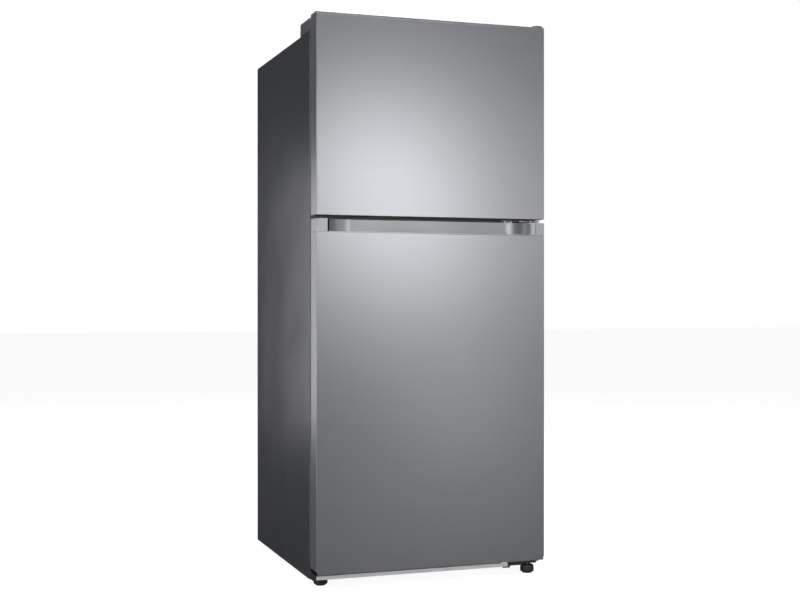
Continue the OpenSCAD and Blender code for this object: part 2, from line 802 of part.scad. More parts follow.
slot_z = about(crisper_cover_z[0] + 6, 2.3);
module crisper_cover() color([0.93, 0.94, 0.95]) {
    half = fridge_half - 3;
    y = [crisper_y[0], shelf_y[1]];
    rim = 10;
    difference() {
        block(both(half), y, crisper_cover_z);
        block(both(half - rim), [y[0] + rim, y[1] - rim], [crisper_cover_z[0] - 1, crisper_cover_z[1] + 1]);
        block(both(half - rim + 1), [y[0] + rim, y[1] - rim], [crisper_cover_z[1] - glass_t, crisper_cover_z[1] + 1]);
        for (s = [-1, 1]) slider_slot(s);
    }
    block(both(6), [y[0] + rim, y[1] - rim], [crisper_cover_z[0], crisper_cover_z[1] - glass_t]);
}

// Slot in the cover's front rail, with a wider pocket behind it for the slider's foot
function slider_start(side) = side < 0 ? -fridge_half / 2 - slider_x / 2 : fridge_half / 2 - slider_x / 2;
module slider_slot(side) {
    x0 = slider_start(side);
    block([x0, x0 + slider_x], [crisper_y[0] - 1, crisper_y[0] + 4], slot_z);
    block([x0 - 4, x0 + slider_x + 4], [crisper_y[0] + 3, crisper_y[0] + 11],
        [crisper_cover_z[0] - 1, slot_z[1] + 3]);
}

module humidity_slider(side) {
    x0 = slider_start(side) + 2;
    neck_w = 22;
    block([x0, x0 + neck_w], [crisper_y[0] - 6, crisper_y[0] - 0.4], about((slot_z[0] + slot_z[1]) / 2, 5));
    block([x0 + 2, x0 + neck_w - 2], [crisper_y[0] - 0.4, crisper_y[0] + 4], about((slot_z[0] + slot_z[1]) / 2, 2));
    block([x0, x0 + neck_w], [crisper_y[0] + 3.4, crisper_y[0] + 7], about((slot_z[0] + slot_z[1]) / 2, 4));
}

module humidity_slider_left() color([0.45, 0.62, 0.72]) humidity_slider(-1);
module humidity_slider_right() color([0.45, 0.62, 0.72]) humidity_slider(1);

module crisper(x) {
    w = crisper_wall;
    handle_z = crisper_z[1] - 36;
    difference() {
        block(x, crisper_y, crisper_z);
        block([x[0] + w, x[1] - w], [crisper_y[0] + 3 * w, crisper_y[1] - w], [crisper_z[0] + w, crisper_z[1] + 1]);
        block([x[0] + 40, x[1] - 40], [crisper_y[0] - 1, crisper_y[0] + 2 * w], about(handle_z, 10));
    }
}

module crisper_left() color([0.80, 0.87, 0.90, 0.6]) crisper([-fridge_half + 7, -3]);
module crisper_right() color([0.80, 0.87, 0.90, 0.6]) crisper([3, fridge_half - 7]);

module interior_lights() color([0.98, 0.97, 0.92]) {
    block(both(70), [-215, -165], [fridge_ceiling - 8, fridge_ceiling]);
    block(both(32), [-215, -180], [freezer_ceiling - 8, freezer_ceiling]);
}

module control_panel() color([0.86, 0.87, 0.88]) {
    along_x([110, 250]) polygon([
        [-230, fridge_ceiling], [-230, fridge_ceiling - 14], [-222, fridge_ceiling - 24],
        [-150, fridge_ceiling - 18], [-150, fridge_ceiling]
    ]);
}

// ------------------------------------------------------------------- doors

boss_y = [hinge[1] - 14, hinge[1] + 14];
boss_x = [hinge[0] - 14, half_w - 2];
module hinge_boss(z) block(boss_x, boss_y, z);

// Formed inner sheet: a tray whose side ribs hold the bins
module door_liner(z, dike_x, dike_z) difference() {
    union() {
        block(both(half_w), [skin_back, door_back], z);
        left_and_right() block(dike_x, [door_back - 1, dike_back], dike_z);
    }
    block(both(half_w - liner_t), [skin_back - 1, door_back - liner_t], [z[0] + liner_t, z[1] - liner_t]);
    left_and_right() dike_space(dike_x, dike_z);
}

module dike_space(dike_x, dike_z)
    block([dike_x[0] + liner_t, dike_x[1] - liner_t], [door_back - liner_t - 1, dike_back - liner_t],
        [dike_z[0] + liner_t, dike_z[1] - liner_t]);

// Foam between the caps, the skin and the formed liner
module door_core(z, liner_z, dike_x, dike_z) {
    along_z(z) door_outline(sheet, skin_back);
    block(both(half_w - liner_t), [skin_back, door_back - liner_t],
        [liner_z[0] + liner_t, liner_z[1] - liner_t]);
    left_and_right() dike_space(dike_x, dike_z);
}

module door_gasket(z) color([0.36, 0.37, 0.38]) {
    inboard = 14;
    seal_w = 13;
    x = half_w - inboard;
    along_y([door_back, case_front - gasket_gap]) difference() {
        rect(both(x), z);
        rect(both(x - seal_w), [z[0] + seal_w, z[1] - seal_w]);
    }
}

// Open tray between the two side ribs
module door_bin(half, z) difference() {
    wall = 2.5;
    slope = 8;
    along_x(both(half)) polygon([
        [door_back, z[0]], [bin_back - slope, z[0]], [bin_back, z[1]], [door_back, z[1]]
    ]);
    along_x(both(half - wall)) polygon([
        [door_back + wall, z[0] + wall], [bin_back - slope - wall, z[0] + wall],
        [bin_back - wall, z[1] + 1], [door_back + wall, z[1] + 1]
    ]);
}

freezer_dike_z = [freezer_floor + 8, freezer_ceiling - 8];
module freezer_door_skin() color([0.56, 0.57, 0.58])
    along_z([freezer_door_bottom, freezer_cap_z[0]]) difference() {
        door_outline(0, skin_back);
        door_outline(sheet, skin_back + 1);
    }

module freezer_door_top_cap() color([0.45, 0.46, 0.47]) difference() {
    union() {
        along_z(freezer_cap_z) door_outline(0, skin_back);
        hinge_boss([freezer_door_top - 26, freezer_cap_z[0]]);
    }
    rod_z(hinge[0], hinge[1], [freezer_door_top - 20, freezer_door_top + 1], bore_r);
}

module freezer_door_bottom_cap() color([0.22, 0.23, 0.24]) difference() {
    union() {
        along_z(freezer_foot_z) door_outline(sheet, skin_back);
        hinge_boss([freezer_foot_z[1], freezer_foot_z[1] + 20]);
    }
    rod_z(hinge[0], hinge[1], [freezer_door_bottom - 1, freezer_door_bottom + 17], bore_r);
    block(both(half_w - 45), [door_front + 5, door_front + 30], [freezer_door_bottom - 1, freezer_door_bottom + 2]);
}

module freezer_door_liner() color([0.94, 0.95, 0.96])
    door_liner([freezer_door_bottom, freezer_door_top], freezer_dike_x, freezer_dike_z);

module freezer_door_core() color([0.93, 0.88, 0.66]) difference() {
    door_core([freezer_foot_z[1], freezer_cap_z[0]], [freezer_door_bottom, freezer_door_top],
        freezer_dike_x, freezer_dike_z);
    hinge_boss([freezer_foot_z[1] - 1, freezer_foot_z[1] + 20]);
    hinge_boss([freezer_door_top - 26, freezer_cap_z[0] + 1]);
}

module freezer_door_gasket() door_gasket([freezer_door_bottom + 14, case_top - 6]);

module freezer_door_bins() color([0.82, 0.88, 0.90, 0.6])
    for (z = freezer_bins) door_bin(freezer_dike_x[0], z);

fridge_dike_z = [fridge_floor + 8, fridge_ceiling - 8];
module fridge_door_skin() color([0.56, 0.57, 0.58]) union() {
    along_z([fridge_cap_z[0], grip_z[0]]) difference() {
        door_outline(0, skin_back);
        door_outline(sheet, skin_back + 1);
    }
    block(both(half_w - edge_r), [door_front, door_front + sheet], [fridge_door_bottom, fridge_cap_z[1]]);
}

module fridge_door_bottom_cap() color([0.22, 0.23, 0.24]) difference() {
    union() {
        along_z(fridge_cap_z) door_outline(sheet, skin_back);
        hinge_boss([fridge_cap_z[1], fridge_cap_z[1] + 16]);
    }
    rod_z(hinge[0], hinge[1], [fridge_cap_z[0] - 1, fridge_cap_z[0] + 19], bore_r);
}

module fridge_door_liner() color([0.94, 0.95, 0.96])
    door_liner([fridge_cap_z[0], fridge_door_top], fridge_dike_x, fridge_dike_z);

module fridge_door_core() color([0.93, 0.88, 0.66]) difference() {
    door_core([fridge_cap_z[1], grip_z[0]], [fridge_cap_z[0], fridge_door_top], fridge_dike_x, fridge_dike_z);
    hinge_boss([fridge_cap_z[1] - 1, fridge_cap_z[1] + 16]);
}

module fridge_door_gasket() door_gasket([fridge_cap_z[0] + 6, fridge_door_top - 14]);

module fridge_door_bins() color([0.82, 0.88, 0.90, 0.6])
    for (z = fridge_bins) door_bin(fridge_dike_x[0], z);

// Plan of the grip's hollow: each end is a quarter of an ellipse that rises from the end block
grip_left = -half_w + 34.5;
grip_right = half_w - 31;
function grip_end(x, side, n = 14) =
    [for (i = [0:n]) let (a = 90 * i / n)
        [x - side * grip_curve * (1 - cos(a)), door_front + grip_depth * sin(a)]];
function reversed(list) = [for (i = [len(list) - 1:-1:0]) list[i]];

module fridge_handle_trim() color([0.60, 0.61, 0.62]) difference() {
    floor_t = 3;
    along_z(grip_z) door_outline(0, skin_back);
    along_z([grip_z[0] + floor_t, grip_z[1] + 1]) polygon(concat(
        [[grip_left, door_front - 5]], grip_end(grip_left, -1),
        reversed(grip_end(grip_right, 1)), [[grip_right, door_front - 5]]
    ));
    rod_z(hinge[0], hinge[1], [grip_z[1] - 17, grip_z[1] + 1], bore_r);
}

outer_case();
rear_panel();
insulation_foam();
freezer_liner();
fridge_liner();
center_rail();
base_pan();
machine_base();
top_cover();
top_hinge();
mid_hinge();
bottom_hinge();
hinge_cover();
hinge_screws();
kick_plate();
left_leg_bracket();
roller_brackets();
compressor();
compressor_mounts();
condenser_coil();
condenser_fan_housing();
drip_pan();
machine_room_cover();
refrigerant_lines();
evaporator();
evaporator_cover();
evaporator_fan_motor();
air_duct_cover();
glass_shelves();
shelf_trims();
crisper_cover();
interior_lights();
control_panel();
left_leg_stem();
left_foot();
right_leg_stem();
right_foot();
roller_left();
roller_right();
condenser_fan_blade();
evaporator_fan_blade();
damper_flap();
crisper_left();
crisper_right();
humidity_slider_left();
humidity_slider_right();
freezer_door_skin();
freezer_door_core();
freezer_door_liner();
freezer_door_top_cap();
freezer_door_bottom_cap();
freezer_door_gasket();
freezer_door_bins();
fridge_door_skin();
fridge_door_core();
fridge_door_liner();
fridge_door_bottom_cap();
fridge_door_gasket();
fridge_handle_trim();
fridge_door_bins();
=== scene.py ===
import json
from math import cos, pi, radians, sin

import bmesh
import bpy
from mathutils import Matrix, Vector


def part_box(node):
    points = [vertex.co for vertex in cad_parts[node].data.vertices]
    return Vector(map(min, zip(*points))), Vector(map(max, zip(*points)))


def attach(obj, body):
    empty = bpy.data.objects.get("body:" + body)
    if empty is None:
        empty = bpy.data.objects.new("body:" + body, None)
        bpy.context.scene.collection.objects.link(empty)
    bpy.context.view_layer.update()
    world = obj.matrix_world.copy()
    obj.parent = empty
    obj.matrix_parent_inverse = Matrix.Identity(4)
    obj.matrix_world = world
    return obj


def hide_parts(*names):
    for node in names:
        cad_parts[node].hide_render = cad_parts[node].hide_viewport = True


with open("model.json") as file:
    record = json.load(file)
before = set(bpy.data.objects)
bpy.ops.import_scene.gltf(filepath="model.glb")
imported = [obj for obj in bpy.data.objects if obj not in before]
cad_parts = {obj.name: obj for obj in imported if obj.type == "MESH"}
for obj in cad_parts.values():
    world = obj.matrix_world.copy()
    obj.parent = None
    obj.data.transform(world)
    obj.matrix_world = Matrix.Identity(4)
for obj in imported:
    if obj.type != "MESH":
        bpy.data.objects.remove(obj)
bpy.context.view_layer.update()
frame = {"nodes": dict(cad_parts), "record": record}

PIECES = set()
NODES = frame["nodes"]
MM = 0.001
NEAR = 0.01 * MM         # how close to a plane counts as on it


# ------------------------------------------------------------------ the frame

def span(node, axis):
    """Lowest and highest value of a CAD node along an axis: 0, 1 or 2 for X, Y or Z."""
    low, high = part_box(node)
    return low[axis], high[axis]


CASE_X = span("outer_case", 0)
CASE_Y = span("outer_case", 1)
CASE_Z = span("outer_case", 2)
DOOR_FRONT, DOOR_SKIN_BACK = span("fridge_door_skin", 1)
BODY_OF = {n: body for body, names in frame["record"]["behaviour"]["bodies"].items() for n in names}
SLOT_OF = {s["node"]: s["material_slot"] for s in frame["record"]["subparts"]}


# ------------------------------------------------------------------ materials

def srgb(value):
    """Linear value of a 0 to 255 display grey."""
    v = value / 255
    return v / 12.92 if v <= 0.04045 else ((v + 0.055) / 1.055) ** 2.4


def grey(value, cool=0.0):
    """A grey of that display value; cool tips it towards blue."""
    v = srgb(value)
    return v * (1 - cool), v * (1 - 0.4 * cool), v * (1 + 1.2 * cool)


class Finish:
    """A Principled material with a few procedural layers on Object coordinates."""

    def __init__(self, name, color, roughness, metallic=0.0, **sockets):
        self.mat = bpy.data.materials.new(name)
        self.mat.use_nodes = True
        self.tree = self.mat.node_tree
        self.shader = self.tree.nodes["Principled BSDF"]
        self.color = color
        self.roughness = roughness
        self.set("Base Color", (*color, 1))
        self.set("Roughness", roughness)
        self.set("Metallic", metallic)
        for key, value in sockets.items():
            self.set(key.replace("_", " "), value)
        self.place = self.tree.nodes.new("ShaderNodeTexCoord")
        self.normal = None

    def set(self, socket, value):
        self.shader.inputs[socket].default_value = value

    def node(self, kind, **values):
        made = self.tree.nodes.new("ShaderNode" + kind)
        for key, value in values.items():
            setattr(made, key, value)
        return made

    def link(self, output, target):
        self.tree.links.new(output, target)

    def mapped(self, scale):
        mapping = self.node("Mapping")
        mapping.inputs["Scale"].default_value = scale
        self.link(self.place.outputs["Object"], mapping.inputs["Vector"])
        return mapping.outputs["Vector"]

    def noise(self, scale, detail=3.0, rough=0.5, stretch=(1, 1, 1)):
        tex = self.node("TexNoise")
        tex.inputs["Scale"].default_value = scale
        tex.inputs["Detail"].default_value = detail
        tex.inputs["Roughness"].default_value = rough
        self.link(self.mapped(stretch), tex.inputs["Vector"])
        return tex.outputs["Fac"]

    def cells(self, scale):
        tex = self.node("TexVoronoi")
        tex.inputs["Scale"].default_value = scale
        self.link(self.mapped((1, 1, 1)), tex.inputs["Vector"])
        return tex.outputs["Distance"]

    def ranged(self, fac, low, high, from_low=0.3, from_high=0.7):
        """Maps a factor to a range of values."""
        remap = self.node("MapRange")
        remap.inputs["From Min"].default_value = from_low
        remap.inputs["From Max"].default_value = from_high
        remap.inputs["To Min"].default_value = low
        remap.inputs["To Max"].default_value = high
        self.link(fac, remap.inputs["Value"])
        return remap.outputs["Result"]

    def vary_color(self, fac, dark=0.9, light=1.1, from_low=0.3, from_high=0.7):
        """Base colour from dark to light times the plain one, after what is already linked."""
        ramp = self.node("ValToRGB")
        ramp.color_ramp.elements[0].position = from_low
        ramp.color_ramp.elements[1].position = from_high
        ramp.color_ramp.elements[0].color = (dark, dark, dark, 1)
        ramp.color_ramp.elements[1].color = (light, light, light, 1)
        self.link(fac, ramp.inputs["Fac"])
        mix = self.node("Mix", data_type="RGBA", blend_type="MULTIPLY")
        mix.inputs["Factor"].default_value = 1.0
        socket = self.shader.inputs["Base Color"]
        if socket.is_linked:
            self.link(socket.links[0].from_socket, mix.inputs[6])
        else:
            mix.inputs[6].default_value = (*self.color, 1)
        self.link(ramp.outputs["Color"], mix.inputs[7])
        self.link(mix.outputs[2], socket)

    def vary_roughness(self, fac, spread):
        self.link(self.ranged(fac, self.roughness - spread, self.roughness + spread),
                  self.shader.inputs["Roughness"])

    def bump(self, fac, strength, distance):
        made = self.node("Bump")
        made.inputs["Strength"].default_value = strength
        made.inputs["Distance"].default_value = distance
        self.link(fac, made.inputs["Height"])
        if self.normal is not None:
            self.link(self.normal, made.inputs["Normal"])
        self.normal = made.outputs["Normal"]
        self.link(self.normal, self.shader.inputs["Normal"])


def brushed_steel(name, color, roughness):
    """Sheet steel brushed from side to side under a thin clear coat."""
    f = Finish(name, color, roughness, metallic=0.85, Coat_Weight=0.15, Coat_Roughness=0.25)
    fine = f.noise(1.0, detail=4, rough=0.6, stretch=(3.0, 3.0, 2600.0))
    broad = f.noise(1.0, detail=3, rough=0.5, stretch=(0.6, 0.6, 260.0))
    f.vary_color(fine, 0.955, 1.045)
    f.vary_color(broad, 0.985, 1.015)
    f.vary_roughness(fine, 0.04)
    f.bump(fine, 0.08, 0.00002)
    return f.mat


def painted(name, color, roughness, grain=900.0, depth=0.08, metallic=0.0):
    """Sprayed or powder coated sheet: a fine skin with slow changes in its gloss."""
    f = Finish(name, color, roughness, metallic=metallic)
    skin = f.noise(grain, detail=2)
    cloud = f.noise(6.0, detail=4)
    f.vary_color(cloud, 0.96, 1.04)
    f.vary_roughness(cloud, 0.04)
    f.bump(skin, depth, 0.00008)
    return f.mat


def moulded(name, color, roughness, grain=1400.0, depth=0.15, **sockets):
    """Moulded plastic with a spark-eroded grain."""
    f = Finish(name, color, roughness, **sockets)
    grain_map = f.noise(grain, detail=3)
    flow = f.noise(9.0, detail=3)
    f.vary_color(flow, 0.95, 1.05)
    f.vary_roughness(flow, 0.04)
    f.bump(grain_map, depth, 0.00006)
    return f.mat


def galvanised(name):
    """Zinc coated sheet with a dull spangle."""
    f = Finish(name, grey(150, 0.02), 0.42, metallic=0.8)
    spangle = f.cells(160.0)
    cloud = f.noise(5.0, detail=4)
    f.vary_color(spangle, 0.95, 1.03, 0.1, 0.8)
    f.vary_color(cloud, 0.92, 1.05)
    f.vary_roughness(spangle, 0.03)
    f.bump(f.noise(500.0), 0.05, 0.00005)
    return f.mat


def foam_finish(name):
    """Rigid foam with open cells at its surface."""
    f = Finish(name, (0.80, 0.69, 0.40), 0.9)
    f.vary_color(f.noise(30.0, detail=6), 0.75, 1.1)
    f.bump(f.cells(420.0), 0.5, 0.0006)
    return f.mat


def clear_plastic(name, color):
    """Clear moulded plastic with a slightly wavy surface."""
    f = Finish(name, color, 0.08, Transmission_Weight=0.88, IOR=1.49)
    f.vary_roughness(f.noise(12.0, detail=4), 0.03)
    f.bump(f.noise(16.0, detail=2), 0.06, 0.0006)
    return f.mat


def pane_glass(name, color, roughness, transmission):
    """Float glass, or its ground edge."""
    f = Finish(name, color, roughness, Transmission_Weight=transmission, IOR=1.5)
    f.vary_roughness(f.noise(8.0, detail=4), 0.008)
    return f.mat


def drawn_metal(name, color, roughness, scale=60.0):
    """Tube, fin or turned metal with slight stains."""
    f = Finish(name, color, roughness, metallic=1.0)
    stain = f.noise(scale, detail=5)
    f.vary_color(stain, 0.72, 1.08)
    f.vary_roughness(stain, 0.10)
    f.bump(f.noise(900.0), 0.06, 0.00005)
    return f.mat


MATERIALS = {
    "door_steel": brushed_steel("door_steel_brushed", grey(142, 0.035), 0.33),
    "cap_metal": painted("door_cap_metallic", grey(142, 0.035), 0.33, metallic=0.85, depth=0.03),
    "case_paint": painted("case_paint_satin", grey(46, 0.12), 0.34, metallic=0.1),
    # Lighter grey than the case paint is a painted highlight along the case's front edge; its higher
    # metallic reflects the lamps
    "flange_highlight_paint": painted("flange_satin_painted_highlight", grey(96, 0.05), 0.34, metallic=0.5),
    "cover_plastic": moulded("cover_plastic_grey", grey(70, 0.02), 0.42),
    "grip": painted("grip_metallic_grey", grey(150, 0.03), 0.40, metallic=0.65, depth=0.03),
    "grip_end": brushed_steel("grip_end_steel", grey(152, 0.035), 0.38),
    "cap_dark": moulded("cap_dark_grey", grey(66, 0.02), 0.45),
    # Much lighter than the rail's own dark grey paint: painted light, so the rail reads lit inside the
    # narrow gap between the doors
    "dark_rail": painted("rail_paint_lightened_as_light", grey(125, 0.03), 0.45),
    "back_panel_steel": galvanised("galvanised_sheet"),
    "foam": foam_finish("insulation_foam_cells"),
    "liner_white": moulded("liner_gloss_white", (0.80, 0.82, 0.84), 0.22, grain=260.0, depth=0.05,
                           Subsurface_Weight=0.05, Coat_Weight=0.3, Coat_Roughness=0.12),
    "inner_plastic": moulded("inner_white_plastic", (0.74, 0.76, 0.79), 0.32),
    "black_metal": painted("black_enamel", grey(30), 0.32, grain=700.0, depth=0.12),
    "black_plastic": moulded("black_plastic_grained", grey(32), 0.5, depth=0.3),
    "black_rubber": moulded("black_rubber_matt", grey(26), 0.75, grain=700.0, depth=0.4),
    "gasket_grey": moulded("gasket_soft_grey", grey(62, 0.02), 0.6, grain=900.0, depth=0.12),
    "grey_board": moulded("louvre_dark_grey", grey(64, 0.02), 0.55, depth=0.35),
    "copper_tube": drawn_metal("copper_drawn", (0.78, 0.36, 0.20), 0.30),
    "fin_aluminium": drawn_metal("fin_aluminium_bare", (0.80, 0.81, 0.82), 0.35),
    "screw_steel": drawn_metal("zinc_plated", (0.62, 0.62, 0.60), 0.30, scale=200.0),
    "kick_silver": painted("kick_silver_paint", grey(205, 0.01), 0.35, metallic=0.6),
    "hinge_grey": painted("hinge_grey_paint", grey(160, 0.01), 0.35, metallic=0.6),
    "shelf_glass": pane_glass("shelf_glass_clear", (0.93, 0.99, 0.97), 0.015, 1.0),
    "glass_edge": pane_glass("shelf_glass_ground_edge", (0.25, 0.62, 0.50), 0.30, 0.55),
    "crisper_clear": clear_plastic("clear_tinted_plastic", (0.88, 0.95, 0.98)),
    "lamp_lens": moulded("lamp_lens_frosted", (0.92, 0.92, 0.90), 0.35, Subsurface_Weight=0.3),
    "fan_plastic": moulded("fan_plastic_pale", grey(206), 0.42),
    "damper_plastic": moulded("damper_plastic_dark", grey(70), 0.48),
    "slider_plastic": moulded("slider_pale_blue", (0.33, 0.52, 0.66), 0.35),
}


# ---------------------------------------------------------------- mesh helpers

def box_into(bm, low, high):
    """Adds a box between two corners."""
    low, high = Vector(low), Vector(high)
    size = high - low
    place = Matrix.Translation((low + high) / 2) @ Matrix.Diagonal((*size, 1))
    bmesh.ops.create_cube(bm, size=1.0, matrix=place)


def edges_where(bm, test):
    return [e for e in bm.edges if test((e.verts[0].co + e.verts[1].co) / 2, e)]


def faces_where(bm, test):
    return [f for f in bm.faces if test(f.calc_center_median(), f)]


def rise(edge):
    """Height between an edge's two ends."""
    return abs(edge.verts[0].co.z - edge.verts[1].co.z)


def cut(bm, faces, point, normal):
    """Splits faces where a plane crosses them."""
    edges = list({e for f in faces for e in f.edges})
    verts = list({v for f in faces for v in f.verts})
    bmesh.ops.bisect_plane(bm, geom=faces + edges + verts, plane_co=point, plane_no=normal, dist=1e-6)


def bevel(bm, edges, width, segments):
    bmesh.ops.bevel(bm, geom=edges, offset=width, offset_type="OFFSET", segments=segments,
                    profile=0.5, affect="EDGES", clamp_overlap=True, material=-1)


def finish_piece(name, bm, material, body, slot, replaces=(), smooth=35):
    """Turns a bmesh into a piece that rides on a body, with smooth faces between sharp edges."""
    mesh = bpy.data.meshes.new(name)
    bm.to_mesh(mesh)
    bm.free()
    for polygon in mesh.polygons:
        polygon.use_smooth = True
    mesh.set_sharp_from_angle(angle=radians(smooth))
    piece = bpy.data.objects.new(name, mesh)
    bpy.context.scene.collection.objects.link(piece)
    materials = material if isinstance(material, (list, tuple)) else [material]
    for m in materials:
        mesh.materials.append(MATERIALS[m])
    PIECES.add(piece.name)
    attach(piece, body)
    if replaces:
        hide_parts(*replaces)
    return piece


def node_piece(name, bm, node, material=None, **more):
    """A piece that stands for one CAD node, on its body."""
    return finish_piece(name, bm, material or SLOT_OF[node], BODY_OF[node], SLOT_OF[node],
                        replaces=(node,), **more)


def lathe(profile, steps, x, y):
    """A turned solid about a vertical axis from (radius, height) points in millimetres."""
    bm = bmesh.new()
    verts = [bm.verts.new((x + r * MM, y, z * MM)) for r, z in profile]
    edges = [bm.edges.new(pair) for pair in zip(verts, verts[1:])]
    bmesh.ops.spin(bm, geom=verts + edges, cent=(x, y, 0), axis=(0, 0, 1), angle=2 * pi, steps=steps,
                   use_merge=True)
    bmesh.ops.remove_doubles(bm, verts=bm.verts, dist=1e-6)
    bmesh.ops.recalc_face_normals(bm, faces=bm.faces)
    return bm


def merged_copy(node):
    """A welded copy of a CAD node's mesh, with its flat faces joined."""
    bm = bmesh.new()
    bm.from_mesh(NODES[node].data)
    bmesh.ops.remove_doubles(bm, verts=bm.verts, dist=2e-6)
    bmesh.ops.dissolve_limit(bm, angle_limit=radians(0.4), verts=bm.verts, edges=bm.edges)
    return bm


def softened(piece, width, segments=2, angle=30):
    """Rounds a piece's sharp edges with a live modifier."""
    mod = piece.modifiers.new("soft_edges", "BEVEL")
    mod.width = width
    mod.segments = segments
    mod.limit_method = "ANGLE"
    mod.angle_limit = radians(angle)
    mod.harden_normals = True
    mod.use_clamp_overlap = True
    return piece


def walled(piece, thickness):
    """Gives an open surface a wall behind it with a live modifier."""
    mod = piece.modifiers.new("wall", "SOLIDIFY")
    mod.thickness = thickness
    mod.offset = -1
    return piece


def flatten_shading():
    """Keeps flat faces flat beside their rounded edges, on every piece."""
    for piece in [o for o in bpy.context.scene.objects if o.type == "MESH" and o.name in PIECES]:
        mod = piece.modifiers.new("flat_faces", "WEIGHTED_NORMAL")
        mod.mode = "FACE_AREA"
        mod.weight = 50
        mod.keep_sharp = True


# ------------------------------------------------------------------- the doors

SHEET_T = 1 * MM
DOOR_CORNER_R = 3 * MM

# The grip: its hollow's place and size, the slot at the left, whose walls are painted black as shade,
# the two swept ends as arcs (run along X, turn), the seam to the right of the hollow and the groove
# under the grip
ARC_STEPS = 16
GRIP_LEFT, GRIP_RIGHT = 34.5 * MM, 31 * MM
GRIP_DEPTH, GRIP_FLOOR_T, GRIP_LEAN = 24 * MM, 3 * MM, 1.09
SLOT_W = 5.5 * MM
LEFT_RUN, LEFT_TURN = 70 * MM, radians(34)
HOLLOW_RUN, CREST_RUN, RIGHT_TURN = 60 * MM, 30 * MM, radians(29.9)
SEAM_GAP, SEAM_W, SEAM_DEPTH = 1.5 * MM, 1.0 * MM, 3 * MM
GROOVE_H, GROOVE_IN = 0.9 * MM, 0.8 * MM


def door_skin(node, name, side_bottom):
    """Front and sides of a door, bent from one sheet; the front may reach lower than the sides."""
    bottom, top = span(node, 2)
    bm = bmesh.new()
    box_into(bm, (CASE_X[0], DOOR_FRONT, bottom), (CASE_X[1], DOOR_SKIN_BACK, top))
    open_faces = faces_where(bm, lambda c, f: abs(f.normal.z) > 0.9 or f.normal.y > 0.9)
    bmesh.ops.delete(bm, geom=open_faces, context="FACES_ONLY")
    corners = edges_where(bm, lambda c, e: abs(c.y - DOOR_FRONT) < NEAR and rise(e) > (top - bottom) / 2)
    bevel(bm, corners, DOOR_CORNER_R, 8)
    for v in bm.verts:
        if v.co.z < side_bottom and v.co.y > DOOR_FRONT + NEAR:
            v.co.z = side_bottom
    piece = node_piece(name, bm, node, "door_steel")
    softened(walled(piece, SHEET_T), 0.35 * MM)


def arc_points(flat_x, wall_y, side, sweeps):
    """Plan points from the flat back wall of a hollow out to one end, towards its front.

    Each sweep is a circular arc, given as (run along X, change of direction); the changes add up.
    """
    x, y, turn, points = flat_x, wall_y, 0.0, [(flat_x, wall_y)]
    for run, change in sweeps:
        radius = run / abs(sin(turn + change) - sin(turn))
        for i in range(1, ARC_STEPS + 1):
            t0 = turn + change * (i - 1) / ARC_STEPS
            t1 = turn + change * i / ARC_STEPS
            x += side * radius * abs(sin(t1) - sin(t0))
            y -= radius * abs(cos(t1) - cos(t0))
            points.append((x, y))
        turn += change
    return points


def grip_plan(low, high, left, right, wall_y):
    """Plan outline of the grip as (x, y) points, running in and out of the hollow and the seam."""
    left_end = arc_points(left + SLOT_W + LEFT_RUN, wall_y, -1, [(LEFT_RUN, LEFT_TURN)])
    right_end = arc_points(right - HOLLOW_RUN - CREST_RUN, wall_y, 1,
                           [(HOLLOW_RUN, RIGHT_TURN), (CREST_RUN, -RIGHT_TURN)])
    right_end[-1] = (right, low.y)
    slot = [(left, low.y), (left, wall_y), (left + SLOT_W - 0.2 * MM, wall_y)]
    seam_left, seam_right = right + SEAM_GAP, right + SEAM_GAP + SEAM_W
    seam = [(seam_left, low.y), (seam_left, low.y + SEAM_DEPTH),
            (seam_right, low.y + SEAM_DEPTH), (seam_right, low.y)]
    return [(low.x, high.y), (low.x, low.y), *slot, *left_end[::-1], *right_end, *seam,
            (high.x, low.y), (high.x, high.y)]


def paint_grip(piece, low, high, left, right):
    """Black on the slot's walls as painted shade, and brushed ends on the walls of the hollow; the rest
    keeps the first material.
    """
    brushed, painted_shade = 1, 2
    for face in piece.data.polygons:
        c = face.center
        if low.y + MM < c.y < high.y - MM and low.z + GRIP_FLOOR_T + MM < c.z < high.z - MM:
            # Faces inside the slot get black plastic: painted shade standing in for the shadow in the
            # deep slot
            if abs(c.x - left - SLOT_W / 2) < SLOT_W / 2 + 0.1 * MM:
                face.material_index = painted_shade
            elif left < c.x < left + SLOT_W + LEFT_RUN or right - HOLLOW_RUN - CREST_RUN < c.x < right:
                face.material_index = brushed


